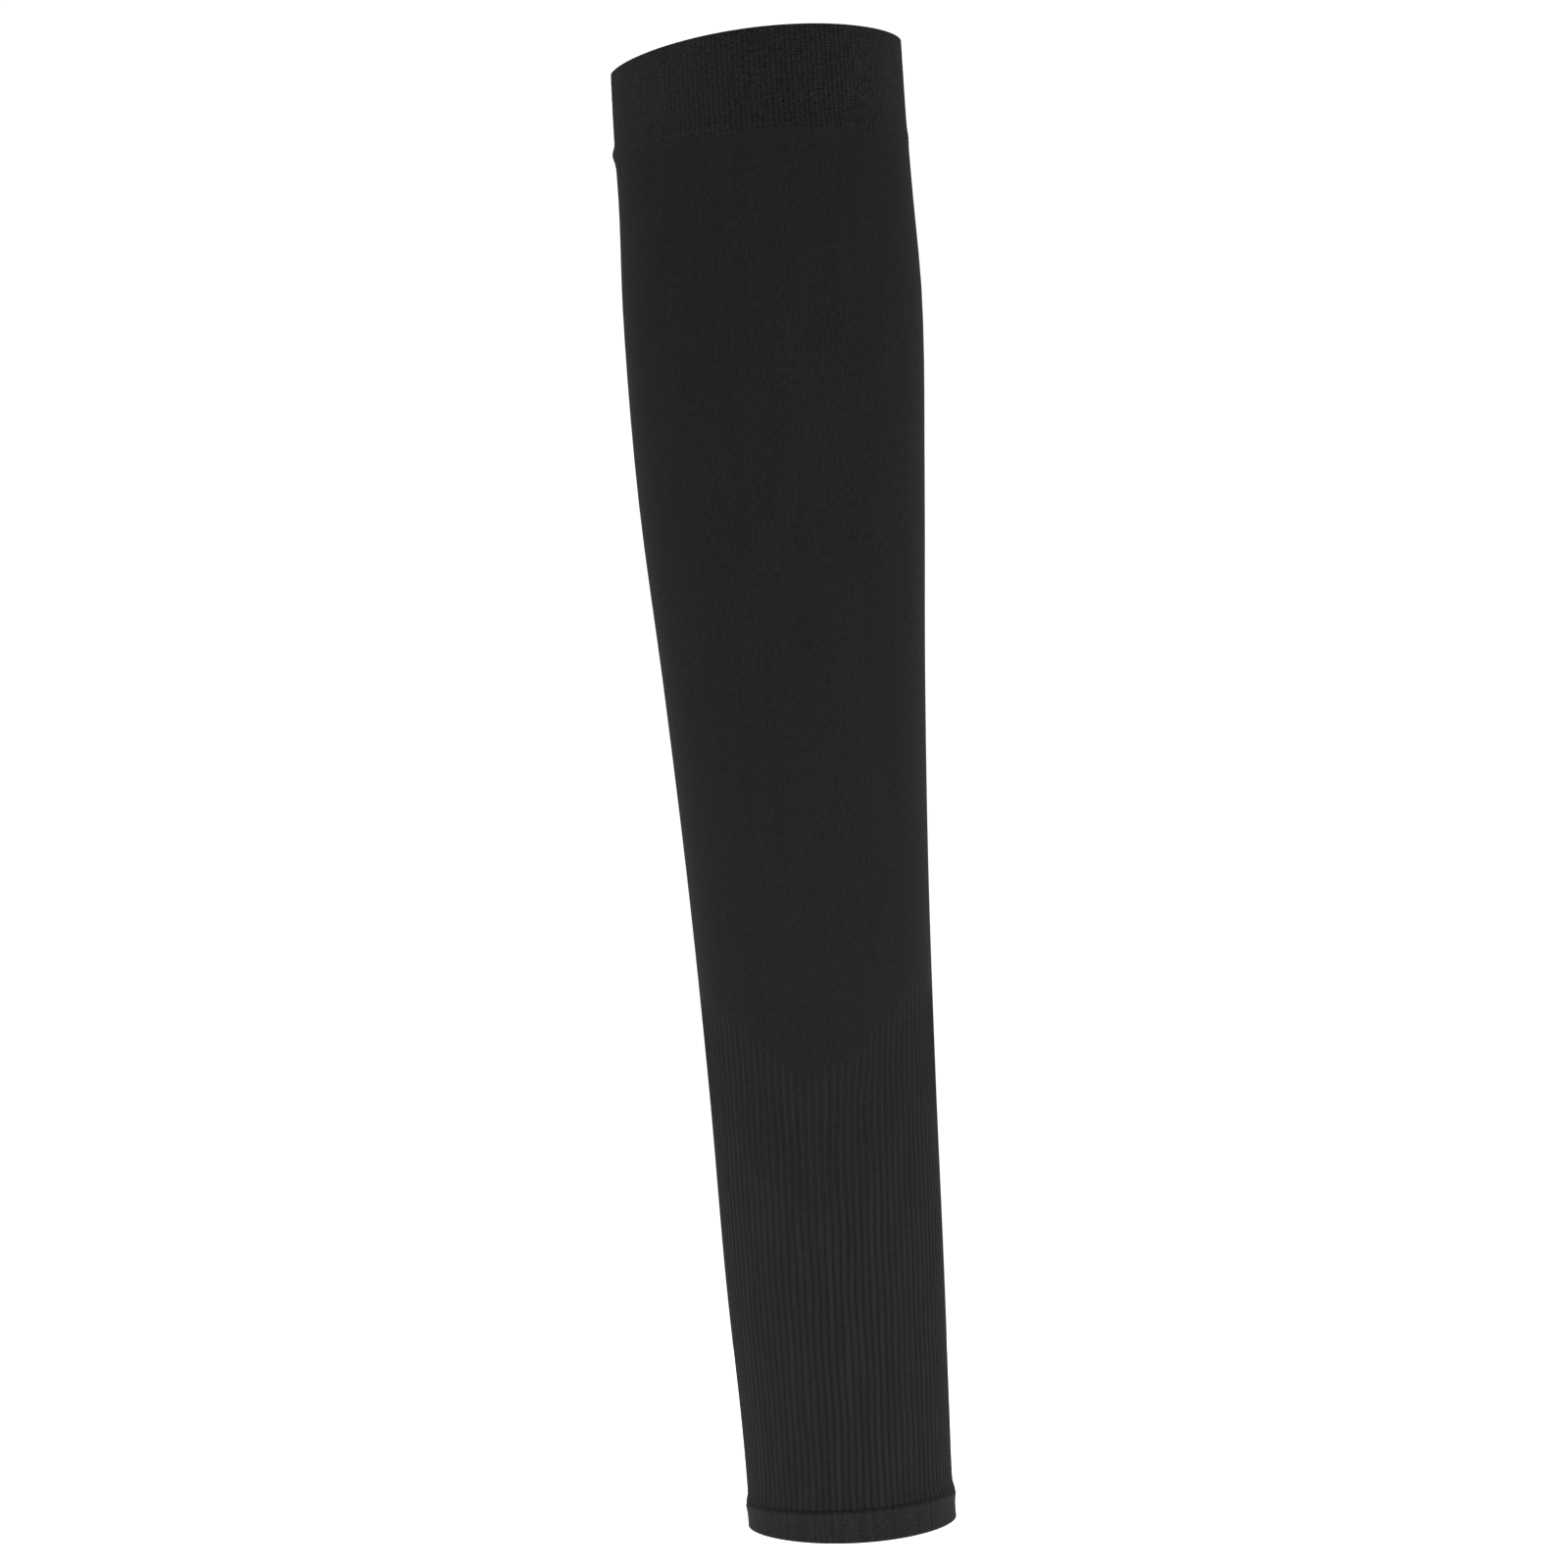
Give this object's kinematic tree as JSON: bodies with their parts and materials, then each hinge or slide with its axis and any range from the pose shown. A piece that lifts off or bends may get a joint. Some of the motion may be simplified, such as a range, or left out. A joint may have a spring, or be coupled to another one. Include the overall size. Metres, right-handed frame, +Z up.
{
  "type": "arm sleeve",
  "caption": "Long tapered knitted compression sleeve for the arm, with a turned-over upper cuff, a plain tube, a ribbed forearm below a V line and a narrow wrist hem.",
  "frame": {"origin": "middle of the upper opening, where the upper arm goes in", "axes": "+Z up along the sleeve's axis, out of the upper opening; -Y to the front, where the tip of the V is; +X to the right seen from the front"},
  "size_m": [0.0855, 0.0799, 0.4232],
  "materials": {
    "cuff_knit": "matte black grid knit",
    "sleeve_knit": "matte black plain and ribbed knit",
    "hem_knit": "matte black plain knit, turned over"
  },
  "bodies": {
    "root": {"upper_cuff": "cuff_knit", "sleeve_tube": "sleeve_knit", "wrist_hem": "hem_knit"}
  },
  "joints": []
}
